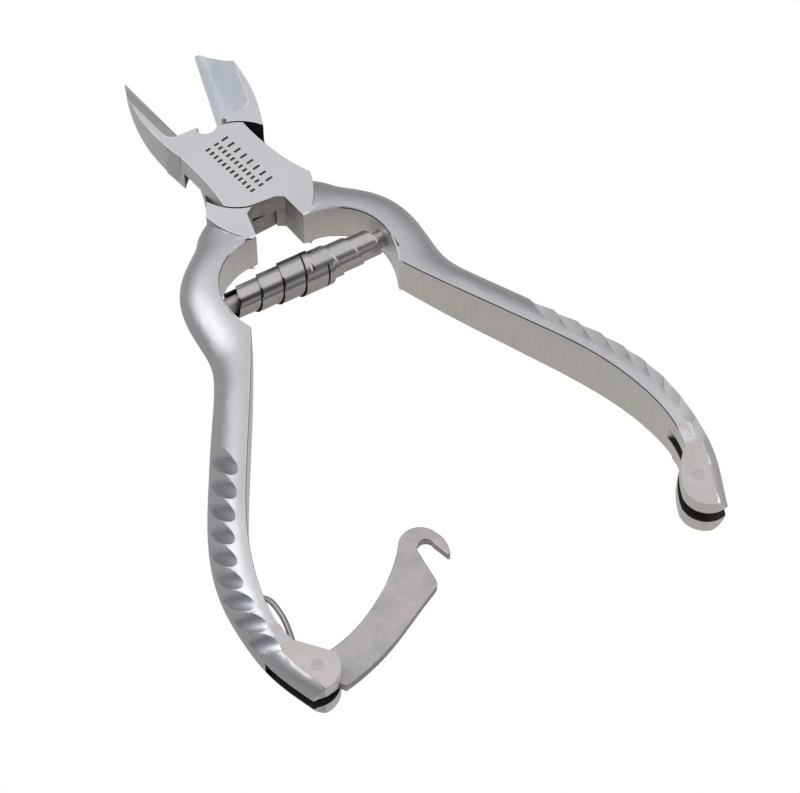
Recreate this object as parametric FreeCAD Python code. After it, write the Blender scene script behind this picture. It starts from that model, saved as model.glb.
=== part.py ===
"""Toenail nipper with a barrel spring and a locking latch.

Frame: millimetres, +Z up.  The origin is on the pivot axis, on the underside
of the lap joint.  +Y points to the jaws, -Y to the handles, and the levers
stand open, mirrored about the plane X = 0.
"""

import FreeCAD, Part

import math
import os

V = FreeCAD.Vector

# --------------------------------------------------------------------------
# Driving dimensions
# --------------------------------------------------------------------------

# Lap joint
JOINT_THICKNESS = 7.35        # both halves together
LAP_GAP = 0.08                # running gap between the two halves
SHOULDER_R = 8.55             # round shoulders that stop the plates
PLATE_R = 8.35                # plate ends that turn inside those shoulders
RIVET_R = 2.5
RIVET_CLEARANCE = 0.05        # radial, in the upper lever
RIVET_COVER = 1.0             # closed wall of the upper lever above the rivet

# Jaws
CLOSING_HALF_ANGLE = 12.4     # degrees that each lever turns to close
EDGE_GAP = 0.05               # from each cutting edge to the closed centre line
JAW_REACH = 28.05             # pivot to the jaw tips
TIP_LIFT = 1.1                # how far the underside rises towards the tips
TIP_HEIGHT = 0.4              # height of the jaw at its very tip
HOLLOW_R = 14.0               # hollow grinding of the jaws
HOLLOW_WIDTH = 4.75           # from cutting edge to ridge, in plan
HOLLOW_FILLET = 2.2           # where the hollow runs out at the heel
BEVEL_HEIGHT = 1.0            # honed bevel along the cutting edge
BEVEL_DEPTH = 0.35

# Handles
TIP_PIN_X = 30.4              # cross pins in the handle ends
TIP_PIN_Y = -81.0
TIP_PIN_R = 0.95
CATCH_END_Y = -86.3           # each handle end is ground back to its own length
LATCH_END_Y = -84.5
SLOT_HEIGHT = 2.3             # fork in each handle end
LATCH_THICKNESS = 1.5
CROWN_INSET = 3.0             # flat strip inside the crown line of a section
FLUTE_COUNT = 9
FLUTE_PITCH = 3.98
FLUTE_R = 2.6                 # of the grinding wheel's edge
FLUTE_SWEEP_R = 24.0          # of the floor of a flute, across the handle
FLUTE_DEPTH = 0.5
FLUTE_LEAN = 36.0             # degrees from square across the handle
FLUTE_PLACE = 50.0            # degrees round the section, from the middle plane
FIRST_FLUTE = (27.1, -42.8)   # on the outer back, nearest the joint

# Barrel spring between the handles
SPRING_Y = -20.7
SPRING_BORE_R = 1.75
SPRING_STEP_RADII = (2.15, 2.6, 3.0, 3.3, 3.0, 2.6, 2.15)
SPRING_STEP_ENDS = (-12.3, -11.3, -7.8, -4.0, 4.0, 7.8, 11.3, 12.3)
PEG_R = 1.35
PEG_PROUD = 3.4
PEG_SUNK = 2.5

# Latch spring (bent wire)
WIRE_R = 0.42
WIRE_CLEARANCE = 0.1          # radial, in its socket

MID_Z = JOINT_THICKNESS / 2
SLOT_LOW = MID_Z - SLOT_HEIGHT / 2
SLOT_HIGH = MID_Z + SLOT_HEIGHT / 2
FAR = 60.0                    # larger than any feature that a cutter crosses


# --------------------------------------------------------------------------
# Helpers
# --------------------------------------------------------------------------

def flat(points, z=0.0):
    """Return plan points as vectors at one height."""
    return [V(x, y, z) for x, y in points]


def line(a, b):
    """Return a straight edge between two plan points."""
    return Part.LineSegment(V(a[0], a[1], 0), V(b[0], b[1], 0)).toShape()


def arc(a, through, b):
    """Return a circular edge through three plan points."""
    return Part.Arc(*flat([a, through, b])).toShape()


def curve(points):
    """Return a smooth edge through plan points."""
    spline = Part.BSplineCurve()
    spline.interpolate(flat(points))
    return spline.toShape()


def prism(edges, low, high):
    """Return the solid of a closed plan outline between two heights."""
    face = Part.Face(Part.Wire(edges))
    face.translate(V(0, 0, low))
    return face.extrude(V(0, 0, high - low))


def polygon_prism(points, low, high):
    """Return the solid of a straight-sided plan outline."""
    edges = [line(a, b) for a, b in zip(points, points[1:] + points[:1])]
    return prism(edges, low, high)


def disc(x, y, radius, low, high):
    """Return an upright cylinder between two heights."""
    return Part.makeCylinder(radius, high - low, V(x, y, low))


def on_circle(radius, x, side):
    """Return the point of the pivot circle at x, on the +1 or -1 side in Y."""
    return (x, side * math.sqrt(radius ** 2 - x ** 2))


def mirrored(shape):
    """Return the shape mirrored about the plane X = 0."""
    return shape.mirror(V(0, 0, 0), V(1, 0, 0))


def one_solid(shape):
    """Return the single solid of a boolean result."""
    solids = shape.removeSplitter().Solids
    if len(solids) != 1:
        volumes = [round(s.Volume, 2) for s in solids]
        raise ValueError(f"expected one solid, found {volumes}")
    return solids[0]


# --------------------------------------------------------------------------
# Jaw: on the -X side, full joint thickness
# --------------------------------------------------------------------------

def edge_point(reach, height):
    """Return a point of the cutting edge line at a distance from the pivot."""
    angle = math.radians(CLOSING_HALF_ANGLE)
    x = -reach * math.sin(angle) - EDGE_GAP * math.cos(angle)
    y = reach * math.cos(angle) - EDGE_GAP * math.sin(angle)
    return V(x, y, height)


def jaw_blank():
    """Return the jaw before grinding: the outer wall leans out to the top."""
    tip = edge_point(JAW_REACH, 0)
    heel = edge_point(9.45, 0)
    root = (-4.6, 7.6)
    wires = []
    for z, outer in (
        (0.0, [(-7.1, 5.6), (-8.15, 11.5), (-8.5, 16.5), (-7.8, 22.5)]),
        (JOINT_THICKNESS, [(-7.15, 5.6), (-8.7, 11.5), (-9.1, 16.5), (-8.3, 22.5)]),
    ):
        edges = [
            curve(outer + [(tip.x - 0.25, tip.y)]),
            line((tip.x - 0.25, tip.y), (tip.x, tip.y)),
            line((tip.x, tip.y), (heel.x, heel.y)),
            line((heel.x, heel.y), root),
            line(root, outer[0]),
        ]
        wire = Part.Wire(edges)
        wire.translate(V(0, 0, z))
        wires.append(wire)
    return Part.makeLoft(wires, True, True)


def across_x(points):
    """Return a cutter whose outline is given in (y, z) and runs along X."""
    corners = [V(-FAR, y, z) for y, z in points]
    face = Part.Face(Part.makePolygon(corners + corners[:1]))
    return face.extrude(V(2 * FAR, 0, 0))


def tip_ramp():
    """Return the cutter that slopes the top of the jaw down to its tip."""
    top = JOINT_THICKNESS
    tip_y = edge_point(JAW_REACH, 0).y
    start = V(-FAR, 18.8, top)
    middle = V(-FAR, 24.1, 4.75)
    end = V(-FAR, tip_y + 0.1, TIP_LIFT + TIP_HEIGHT)
    edges = [
        Part.Arc(start, middle, end).toShape(),
        Part.makeLine(end, V(-FAR, FAR, end.z)),
        Part.makeLine(V(-FAR, FAR, end.z), V(-FAR, FAR, top + 1)),
        Part.makeLine(V(-FAR, FAR, top + 1), V(-FAR, start.y, top + 1)),
        Part.makeLine(V(-FAR, start.y, top + 1), start),
    ]
    return Part.Face(Part.Wire(edges)).extrude(V(2 * FAR, 0, 0))


def hollow_cutter():
    """Return the grinding cutter that leaves the concave face of the jaw."""
    near = edge_point(15.0, 0.0)
    far = edge_point(JAW_REACH, TIP_LIFT)
    along = (far - near).normalize()
    outward = V(along.y, -along.x, 0).normalize() * -1
    foot = near + outward * BEVEL_DEPTH + V(0, 0, BEVEL_HEIGHT)
    run = HOLLOW_WIDTH - BEVEL_DEPTH
    rise = JOINT_THICKNESS - BEVEL_HEIGHT
    chord = math.hypot(run, rise)
    offset = math.sqrt(HOLLOW_R ** 2 - (chord / 2) ** 2)
    centre = foot + outward * (run / 2 - offset * rise / chord)
    centre = centre + V(0, 0, rise / 2 + offset * run / chord)
    drum = Part.makeCylinder(HOLLOW_R, 3 * FAR, centre - along * FAR, along)
    heel_top = (9.5, JOINT_THICKNESS)
    heel_foot = (13.0, 0.0)
    slope = (heel_foot[0] - heel_top[0]) / (heel_foot[1] - heel_top[1])
    reach = 30.0
    run_out = across_x([
        (heel_top[0] + slope * reach, heel_top[1] + reach),
        (heel_foot[0] - slope * reach, heel_foot[1] - reach),
        (FAR, -reach),
        (FAR, heel_top[1] + reach),
    ])
    cutter = drum.common(run_out)
    heel_edges = [
        e for e in cutter.Edges
        if all(abs(p.y - heel_top[0] - slope * (p.z - heel_top[1])) < 0.01
               for p in (e.valueAt(e.FirstParameter), e.CenterOfMass))
    ]
    return cutter.makeFillet(HOLLOW_FILLET, heel_edges)


def bevel_cutter():
    """Return the cutter for the honed bevel along the cutting edge."""
    near = edge_point(13.6, 0.0)
    far = edge_point(JAW_REACH + 2, TIP_LIFT * 1.15)
    along = (far - near).normalize()
    outward = V(along.y, -along.x, 0).normalize() * -1
    section = [
        near,
        near + outward * BEVEL_DEPTH + V(0, 0, BEVEL_HEIGHT),
        near - outward + V(0, 0, BEVEL_HEIGHT),
        near - outward,
    ]
    face = Part.Face(Part.makePolygon(section + section[:1]))
    return face.extrude(far - near)


def jaw():
    """Return the ground jaw of the lever whose jaw is on the -X side."""
    tip_y = edge_point(JAW_REACH, 0).y
    underside = across_x([(14.2, 0), (tip_y + 1, TIP_LIFT * 1.07), (tip_y + 1, -2), (14.2, -2)])
    shape = jaw_blank()
    for cutter in (tip_ramp(), underside, bevel_cutter(), hollow_cutter()):
        shape = shape.cut(cutter)
    return one_solid(shape)


# --------------------------------------------------------------------------
# Joint block: jaw root at -X, shank at +X, full thickness before lapping
# --------------------------------------------------------------------------

SHANK_INNER = (5.0, -13.6)
SHANK_OUTER = (8.9, -6.6)


def joint_block():
    """Return the middle of a lever, from the jaw root to the shank."""
    upper_left = on_circle(PLATE_R, -5.65, -1)
    lower_left = on_circle(PLATE_R, -2.4, -1)
    right_top = on_circle(PLATE_R, 4.5, 1)
    right_front = on_circle(PLATE_R, 0.6, 1)
    heel_corner = (-2.6, 9.25)
    edges = [
        curve([(-8.0, 9.3), (-6.9, 4.6), (-6.1, 0.3), (-5.7, -3.4), upper_left]),
        arc(upper_left, on_circle(PLATE_R, -4.0, -1), lower_left),
        line(lower_left, (1.9, -8.3)),
        line((1.9, -8.3), (3.2, -9.0)),
        line((3.2, -9.0), (4.0, -13.5)),
        line((4.0, -13.5), SHANK_INNER),
        arc(SHANK_INNER, (7.4, -10.5), SHANK_OUTER),
        line(SHANK_OUTER, (7.3, -3.6)),
        arc((7.3, -3.6), (5.55, 1.6), right_top),
        arc(right_top, on_circle(PLATE_R, 2.6, 1), right_front),
        arc(right_front, (-1.0, 7.6), heel_corner),
        line(heel_corner, (-8.0, 9.3)),
    ]
    return prism(edges, 0, JOINT_THICKNESS)


# --------------------------------------------------------------------------
# Handle: on the +X side
# --------------------------------------------------------------------------

# Sections along the handle: crown point in plan, outermost point in plan,
# and half the height of the section.
HANDLE_SECTIONS = (
    ((4.5, -12.5), (8.6, -5.7), 3.675),
    ((8.6, -14.3), (12.3, -9.3), 3.675),
    ((11.4, -16.1), (15.3, -11.95), 3.675),
    ((13.2, -19.0), (18.3, -15.95), 3.675),
    ((13.9, -23.0), (19.6, -21.95), 3.675),
    ((13.7, -27.0), (19.65, -27.4), 3.70),
    ((14.9, -31.8), (20.5, -31.2), 3.92),
    ((17.5, -36.5), (22.1, -34.4), 4.20),
    ((21.05, -42.8), (25.5, -40.15), 4.45),
    ((25.15, -49.95), (29.6, -47.3), 4.72),
    ((28.95, -57.45), (33.8, -55.35), 4.85),
    ((31.6, -64.7), (36.35, -63.4), 4.60),
    ((32.55, -71.0), (36.7, -70.6), 4.25),
    ((32.7, -75.5), (36.1, -76.2), 3.90),
    ((31.2, -80.0), (34.6, -81.0), 4.05),
    ((29.4, -84.6), (32.4, -86.1), 4.05),
    ((28.0, -88.0), (30.9, -89.7), 4.00),
)


def handle_section(crown, outermost, half_height, inset):
    """Return a D-shaped section: flat inside, half an ellipse outside."""
    crown_point = V(crown[0], crown[1], MID_Z)
    reach = V(outermost[0], outermost[1], MID_Z) - crown_point
    depth = reach.Length
    out = reach.normalize()
    up = V(0, 0, 1)
    inner = crown_point - out * inset
    top = crown_point + up * half_height
    bottom = crown_point - up * half_height
    if depth >= half_height:
        ellipse = Part.Ellipse(crown_point + out * depth, top, crown_point)
    else:
        ellipse = Part.Ellipse(top, crown_point + out * depth, crown_point)
    rim = []
    for a, b in ((top, crown_point + out * depth), (crown_point + out * depth, bottom)):
        first, last = ellipse.parameter(a), ellipse.parameter(b)
        forward = (last - first) % (2 * math.pi) < math.pi
        span = Part.ArcOfEllipse(ellipse, *((first, last) if forward else (last, first)))
        rim.append(span.toShape())
    low, high = inner - up * half_height, inner + up * half_height
    return Part.Wire([
        Part.makeLine(low, high),
        Part.makeLine(high, top),
        rim[0],
        rim[1],
        Part.makeLine(bottom, low),
    ])


def handle_body():
    """Return the handle as a smooth loft, wider inside than it ends up."""
    last = len(HANDLE_SECTIONS) - 1
    wires = []
    for index, (crown, outermost, half_height) in enumerate(HANDLE_SECTIONS):
        wide = CROWN_INSET + (4.0 if index > last - 4 else 0.0)
        wires.append(handle_section(crown, outermost, half_height, wide))
    return Part.makeLoft(wires, True)


def handle_outline(end_y):
    """Return the plan outline that trims the inside and end of a handle."""
    inner = [(12.4, -27.8), (16.5, -35.6), (20.7, -43.0), (24.8, -50.15),
             (28.65, -57.65), (31.3, -65.5), (32.1, -71.5), (31.5, -76.0)]
    bulge = (27.3, end_y + 4.0)
    end_corner = (32.2, end_y)
    edges = [
        line((12, 2), (7.4, -6.4)),
        line((7.4, -6.4), (4.4, -12.3)),
        line((4.4, -12.3), SHANK_INNER),
        curve([SHANK_INNER, (8.4, -14.3), (11.8, -16.8), (13.6, -20.8), (13.5, -24.4), inner[0]]),
        curve(inner),
        arc(inner[-1], (28.9, -78.8), bulge),
        arc(bulge, (28.5, end_y + 0.8), end_corner),
        line(end_corner, (45, end_y)),
        line((45, end_y), (45, 2)),
        line((45, 2), (12, 2)),
    ]
    return prism(edges, -5, JOINT_THICKNESS + 5)


def end_flats():
    """Return the cutters for the flats on both faces of a handle end."""
    top = JOINT_THICKNESS
    profile = [(-95, top), (-76.0, top), (-72.5, top + 0.55), (-72.5, top + 5), (-95, top + 5)]
    upper = across_x(profile)
    lower = across_x([(y, top - z) for y, z in profile])
    return upper.fuse(lower)


def end_slot():
    """Return the cutter for the fork in a handle end, with a sawn round root."""
    inside, root, outside = (31.0, -70.4), (33.9, -73.1), (36.1, -76.9)
    edges = [
        arc(inside, root, outside),
        line(outside, (45, -82)),
        line((45, -82), (45, -95)),
        line((45, -95), (20, -95)),
        line((20, -95), (20, -70.4)),
        line((20, -70.4), inside),
    ]
    return prism(edges, SLOT_LOW, SLOT_HIGH)


def flutes():
    """Return the slanted grip flutes ground into both faces of a handle's back."""
    cutters = []
    backs, crowns = Part.BSplineCurve(), Part.BSplineCurve()
    backs.interpolate([V(out[0], out[1], MID_Z) for _, out, _ in HANDLE_SECTIONS])
    crowns.interpolate([V(crown[0], crown[1], height) for crown, _, height in HANDLE_SECTIONS])
    start = backs.parameter(V(FIRST_FLUTE[0], FIRST_FLUTE[1], MID_Z))
    start_length = backs.length(backs.FirstParameter, start)
    place, lean = math.radians(FLUTE_PLACE), math.radians(FLUTE_LEAN)
    for index in range(FLUTE_COUNT):
        at = backs.parameterAtDistance(start_length + index * FLUTE_PITCH, backs.FirstParameter)
        back = backs.value(at)
        crown = crowns.value(crowns.parameter(back))
        tangent = backs.tangent(at)[0]
        out = V(-tangent.y, tangent.x, 0).normalize()
        depth = (back - crown).dot(out)          # out is level, so heights cancel
        for face in (1, -1):
            up = V(0, 0, face)
            lifted = crown.z * math.sin(place)
            shift = tangent * (lifted * math.tan(lean))
            point = back + shift - out * (depth * (1 - math.cos(place))) + up * lifted
            normal = (out * math.cos(place) + up * math.sin(place)).normalize()
            across = up * math.cos(place) - out * math.sin(place)
            sweep = across * math.cos(lean) + tangent * math.sin(lean)
            centre = point - normal * (FLUTE_SWEEP_R + FLUTE_DEPTH)
            wheel = Part.makeTorus(FLUTE_SWEEP_R + FLUTE_R, FLUTE_R, centre, normal.cross(sweep))
            cutters.append(wheel)
    return cutters


def handle(end_y):
    """Return the finished handle of the lever whose handle is on the +X side."""
    shape = handle_body().common(handle_outline(end_y))
    shape = shape.cut(end_flats())
    for cutter in flutes():
        shape = shape.cut(cutter)
    return one_solid(shape.cut(end_slot()))


# --------------------------------------------------------------------------
# Levers
# --------------------------------------------------------------------------

def lever_blank(end_y):
    """Return jaw, joint block and handle as one forging, before lapping."""
    return joint_block().fuse(jaw()).fuse(handle(end_y))


def catch_lever():
    """Return the lever with the upper lap: left jaw and right handle."""
    recess = disc(0, 0, SHOULDER_R, -1, MID_Z + LAP_GAP / 2)
    hole = disc(0, 0, RIVET_R + RIVET_CLEARANCE, -1, JOINT_THICKNESS - RIVET_COVER)
    pin_hole = disc(TIP_PIN_X, TIP_PIN_Y, TIP_PIN_R, -1, JOINT_THICKNESS + 1)
    shape = lever_blank(CATCH_END_Y).cut(recess).cut(hole).cut(pin_hole)
    return one_solid(shape.cut(peg_hole()))


def latch_lever():
    """Return the lever with the lower lap: right jaw and left handle."""
    recess = disc(0, 0, SHOULDER_R, MID_Z - LAP_GAP / 2, JOINT_THICKNESS + 1)
    hole = disc(0, 0, RIVET_R, -1, JOINT_THICKNESS + 1)
    pin_hole = disc(-TIP_PIN_X, TIP_PIN_Y, TIP_PIN_R, -1, JOINT_THICKNESS + 1)
    shape = mirrored(lever_blank(LATCH_END_Y)).cut(recess).cut(hole).cut(pin_hole)
    shape = shape.cut(mirrored(peg_hole())).cut(wire_sockets())
    return one_solid(shape)


# --------------------------------------------------------------------------
# Pins, spring and latch
# --------------------------------------------------------------------------

PEG_FACE_X = 13.5             # pocket wall where the peg stands out


def peg_hole():
    """Return the hole for the spring peg in the +X handle."""
    return Part.makeCylinder(PEG_R, PEG_SUNK + 1, V(PEG_FACE_X - 1, SPRING_Y, MID_Z), V(1, 0, 0))


def spring_peg():
    """Return the peg on the +X handle that holds the end of the spring."""
    length = PEG_PROUD + PEG_SUNK
    peg = Part.makeCylinder(PEG_R, length, V(PEG_FACE_X - PEG_PROUD, SPRING_Y, MID_Z), V(1, 0, 0))
    nose = [e for e in peg.Edges if abs(e.BoundBox.XMax - (PEG_FACE_X - PEG_PROUD)) < 0.01]
    return peg.makeChamfer(0.4, nose)


def barrel_spring():
    """Return the wound strip spring as its stepped outer form with a bore."""
    shape = None
    spans = zip(SPRING_STEP_RADII, SPRING_STEP_ENDS, SPRING_STEP_ENDS[1:])
    for radius, start, end in spans:
        step = Part.makeCylinder(radius, end - start, V(start, SPRING_Y, MID_Z), V(1, 0, 0))
        shape = step if shape is None else shape.fuse(step)
    bore = Part.makeCylinder(SPRING_BORE_R, 40, V(-20, SPRING_Y, MID_Z), V(1, 0, 0))
    return one_solid(shape.cut(bore))


def cross_pin(side):
    """Return the pin across the fork of the handle on the side +1 or -1."""
    return disc(side * TIP_PIN_X, TIP_PIN_Y, TIP_PIN_R, 0, JOINT_THICKNESS)


LATCH_PIVOT = (-TIP_PIN_X, TIP_PIN_Y)
PIN_RADIUS_FROM_PIVOT = math.hypot(TIP_PIN_X, TIP_PIN_Y)
CLOSED_PIN_ANGLE = math.degrees(math.atan2(TIP_PIN_X, -TIP_PIN_Y)) - CLOSING_HALF_ANGLE
SEAT_DISTANCE = 2 * PIN_RADIUS_FROM_PIVOT * math.sin(math.radians(CLOSED_PIN_ANGLE))
SEAT_ANGLE = 23.8             # direction of the hook's seat from the latch pin, at rest
SEAT_R = 1.25


def latch_hook():
    """Return the flat curved latch with its hook, in its open position."""
    reach, rise = math.cos(math.radians(SEAT_ANGLE)), math.sin(math.radians(SEAT_ANGLE))
    seat_x = LATCH_PIVOT[0] + SEAT_DISTANCE * reach
    seat_y = LATCH_PIVOT[1] + SEAT_DISTANCE * rise
    low = MID_Z - LATCH_THICKNESS / 2
    high = MID_Z + LATCH_THICKNESS / 2
    edges = [
        arc((-31.9, -79.6), (-30.2, -78.7), (-28.4, -78.6)),
        curve([(-28.4, -78.6), (-23.4, -77.6), (-18.2, -75.1), (-14.0, -72.0), (-11.2, -69.0)]),
        arc((-11.2, -69.0), (-8.1, -67.4), (-5.5, -69.5)),
        arc((-5.5, -69.5), (-4.95, -71.5), (-5.35, -73.4)),
        arc((-5.35, -73.4), (-5.7, -73.65), (-5.9, -73.3)),
        line((-5.9, -73.3), (seat_x + SEAT_R, seat_y)),
        arc((seat_x + SEAT_R, seat_y), (seat_x, seat_y + SEAT_R), (seat_x - SEAT_R, seat_y)),
        line((seat_x - SEAT_R, seat_y), (-9.2, -75.9)),
        arc((-9.2, -75.9), (-9.4, -76.8), (-10.1, -77.4)),
        curve([(-10.1, -77.4), (-14.8, -79.75), (-19.7, -82.15), (-24.1, -83.7), (-27.9, -84.5)]),
        line((-27.9, -84.5), (-28.6, -83.6)),
        arc((-28.6, -83.6), (-31.4, -83.2), (-32.4, -81.8)),
        arc((-32.4, -81.8), (-32.5, -80.6), (-31.9, -79.6)),
    ]
    plate = prism(edges, low, high)
    return one_solid(plate.cut(disc(*LATCH_PIVOT, TIP_PIN_R + 0.06, low - 1, high + 1)))


WIRE_ROUTE = ((-33.4, -66.3), (-30.7, -66.1), (-30.0, -70.3), (-30.75, -74.6), (-31.6, -78.0))
WIRE_BEND_R = 1.5


def wire_sockets():
    """Return the hole that holds the fixed end of the latch spring."""
    start, leave = (V(x, y, MID_Z) for x, y in WIRE_ROUTE[:2])
    return Part.makeCylinder(WIRE_R + WIRE_CLEARANCE, (leave - start).Length, start, leave - start)


def rounded_path(points, radius):
    """Return straight runs joined by tangent arcs, at the middle height."""
    edges = []
    start = V(points[0][0], points[0][1], MID_Z)
    for before, corner, after in zip(points, points[1:], points[2:]):
        corner = V(corner[0], corner[1], MID_Z)
        back = (V(before[0], before[1], MID_Z) - corner).normalize()
        ahead = (V(after[0], after[1], MID_Z) - corner).normalize()
        half_turn = (math.pi - back.getAngle(ahead)) / 2
        setback = radius * math.tan(half_turn)
        entry, leave = corner + back * setback, corner + ahead * setback
        bisector = (back + ahead).normalize()
        middle = corner + bisector * (radius / math.cos(half_turn) - radius)
        edges += [Part.makeLine(start, entry), Part.Arc(entry, middle, leave).toShape()]
        start = leave
    edges.append(Part.makeLine(start, V(points[-1][0], points[-1][1], MID_Z)))
    return Part.Wire(edges)


def latch_spring():
    """Return the bent wire that presses on the heel of the latch."""
    path = rounded_path(WIRE_ROUTE, WIRE_BEND_R)
    start = path.Edges[0]
    normal = start.tangentAt(start.FirstParameter)
    circle = Part.Wire(Part.Circle(start.valueAt(start.FirstParameter), normal, WIRE_R).toShape())
    return path.makePipeShell([circle], True, False)


PARTS = {
    "catch_lever": catch_lever,
    "latch_lever": latch_lever,
    "joint_rivet": lambda: disc(0, 0, RIVET_R, 0, JOINT_THICKNESS - RIVET_COVER - LAP_GAP),
    "catch_pin": lambda: cross_pin(1),
    "latch_pin": lambda: cross_pin(-1),
    "latch_hook": latch_hook,
    "latch_spring": latch_spring,
    "barrel_spring": barrel_spring,
    "catch_side_peg": spring_peg,
    "latch_side_peg": lambda: mirrored(spring_peg()),
}


def main():
    """Write one STEP file for each piece."""
    os.makedirs("parts", exist_ok=True)
    for name, build in PARTS.items():
        shape = build()
        shape.exportStep(f"parts/{name}.step")
        box = shape.BoundBox
        print(f"{name}: volume {shape.Volume:.1f} mm3, valid {shape.isValid()}, "
              f"x {box.XMin:.2f}..{box.XMax:.2f}, y {box.YMin:.2f}..{box.YMax:.2f}, "
              f"z {box.ZMin:.2f}..{box.ZMax:.2f}")


main()
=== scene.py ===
"""Looks of a toenail nipper with a barrel spring and a locking latch.

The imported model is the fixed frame: the levers and the latch start from its meshes, and the
pins, the pegs and the barrel spring from its boxes. The wire's route and the mark's place are
listed in the same frame. Sizes are in millimetres until a mesh is finished, and then in metres.
"""

import logging
import math
from dataclasses import dataclass
from enum import Enum

import bmesh
import bpy
from bmesh.types import BMEdge, BMesh, BMFace
from mathutils import Matrix, Vector


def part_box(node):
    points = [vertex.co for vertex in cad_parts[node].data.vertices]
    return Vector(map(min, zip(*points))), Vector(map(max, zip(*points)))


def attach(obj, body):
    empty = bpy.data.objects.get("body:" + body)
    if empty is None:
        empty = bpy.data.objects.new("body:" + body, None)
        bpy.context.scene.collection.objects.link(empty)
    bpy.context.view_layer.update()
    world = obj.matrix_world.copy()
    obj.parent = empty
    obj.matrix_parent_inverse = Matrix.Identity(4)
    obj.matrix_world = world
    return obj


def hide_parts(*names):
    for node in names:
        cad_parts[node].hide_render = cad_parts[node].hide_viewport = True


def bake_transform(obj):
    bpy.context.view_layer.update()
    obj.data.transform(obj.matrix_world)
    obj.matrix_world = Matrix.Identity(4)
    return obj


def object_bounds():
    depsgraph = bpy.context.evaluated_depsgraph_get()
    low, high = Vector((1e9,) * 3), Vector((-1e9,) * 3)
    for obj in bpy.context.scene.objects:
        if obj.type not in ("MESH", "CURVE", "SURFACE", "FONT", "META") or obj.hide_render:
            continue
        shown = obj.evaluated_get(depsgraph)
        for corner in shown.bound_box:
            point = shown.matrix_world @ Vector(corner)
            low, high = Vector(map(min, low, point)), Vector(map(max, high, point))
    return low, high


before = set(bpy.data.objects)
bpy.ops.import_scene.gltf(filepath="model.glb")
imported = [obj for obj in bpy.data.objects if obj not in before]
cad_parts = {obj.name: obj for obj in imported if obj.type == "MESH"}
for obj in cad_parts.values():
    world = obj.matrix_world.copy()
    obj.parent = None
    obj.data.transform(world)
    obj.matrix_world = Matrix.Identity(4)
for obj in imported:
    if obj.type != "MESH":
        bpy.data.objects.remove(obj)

Colour = tuple[float, float, float]

LOG = logging.getLogger("nipper")
CAD_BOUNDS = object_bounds()
MILLIMETRE = 0.001

JOINT_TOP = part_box("catch_pin")[1].z / MILLIMETRE
MID_Z = JOINT_TOP / 2


# --------------------------------------------------------------------------
# Node groups: effects that several finishes share
# --------------------------------------------------------------------------

class Effect(Enum):
    """Surface effects, each one a shader node group."""

    BRUSH = "brushed_grain"
    CLOUD = "cloudy_stain"
    SPECKS = "dark_specks"
    WEAR_AND_HIGHLIGHT = "edge_wear"


def new_group(effect: Effect, inputs: dict[str, object], outputs: tuple[str, ...],
              ) -> tuple[bpy.types.NodeTree, bpy.types.Node, bpy.types.Node]:
    """Start a shader node group with named sockets.

    Args:
        effect: The effect whose value names the group.
        inputs: Socket name to default value; a tuple makes a vector socket.
        outputs: Names of the value sockets that the group puts out.

    Returns:
        The tree, its input node and its output node.
    """
    tree = bpy.data.node_groups.new(effect.value, "ShaderNodeTree")
    for name, default in inputs.items():
        kind = "NodeSocketVector" if isinstance(default, tuple) else "NodeSocketFloat"
        socket = tree.interface.new_socket(name, in_out="INPUT", socket_type=kind)
        socket.default_value = default
    for name in outputs:
        tree.interface.new_socket(name, in_out="OUTPUT", socket_type="NodeSocketFloat")
    return tree, tree.nodes.new("NodeGroupInput"), tree.nodes.new("NodeGroupOutput")


def build_brush() -> None:
    """Build the fine parallel scratches that a grinding belt leaves."""
    inputs = {"Vector": (0.0, 0.0, 0.0), "Lines": (1.0, 1.0, 1.0), "Depth": 1.0}
    tree, start, end = new_group(Effect.BRUSH, inputs, ("Value", "Height"))
    stretch = tree.nodes.new("ShaderNodeMapping")
    tree.links.new(start.outputs["Vector"], stretch.inputs["Vector"])
    tree.links.new(start.outputs["Lines"], stretch.inputs["Scale"])
    noise = tree.nodes.new("ShaderNodeTexNoise")
    noise.inputs["Scale"].default_value = 1.0
    noise.inputs["Detail"].default_value = 5.0
    noise.inputs["Roughness"].default_value = 0.65
    tree.links.new(stretch.outputs["Vector"], noise.inputs["Vector"])
    depth = tree.nodes.new("ShaderNodeMath")
    depth.operation = "MULTIPLY"
    tree.links.new(noise.outputs["Fac"], depth.inputs[0])
    tree.links.new(start.outputs["Depth"], depth.inputs[1])
    tree.links.new(noise.outputs["Fac"], end.inputs["Value"])
    tree.links.new(depth.outputs["Value"], end.inputs["Height"])


def build_cloud() -> None:
    """Build the soft blotches that tumbling and handling leave on steel."""
    inputs = {"Vector": (0.0, 0.0, 0.0), "Scale": 100.0, "Contrast": 1.0}
    tree, start, end = new_group(Effect.CLOUD, inputs, ("Value",))
    noise = tree.nodes.new("ShaderNodeTexNoise")
    noise.inputs["Detail"].default_value = 3.0
    noise.inputs["Roughness"].default_value = 0.55
    tree.links.new(start.outputs["Vector"], noise.inputs["Vector"])
    tree.links.new(start.outputs["Scale"], noise.inputs["Scale"])
    centred = tree.nodes.new("ShaderNodeMath")
    centred.operation = "SUBTRACT"
    centred.inputs[1].default_value = 0.5
    tree.links.new(noise.outputs["Fac"], centred.inputs[0])
    spread = tree.nodes.new("ShaderNodeMath")
    spread.operation = "MULTIPLY_ADD"
    spread.use_clamp = True
    spread.inputs[2].default_value = 0.5
    tree.links.new(centred.outputs["Value"], spread.inputs[0])
    tree.links.new(start.outputs["Contrast"], spread.inputs[1])
    tree.links.new(spread.outputs["Value"], end.inputs["Value"])


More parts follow.
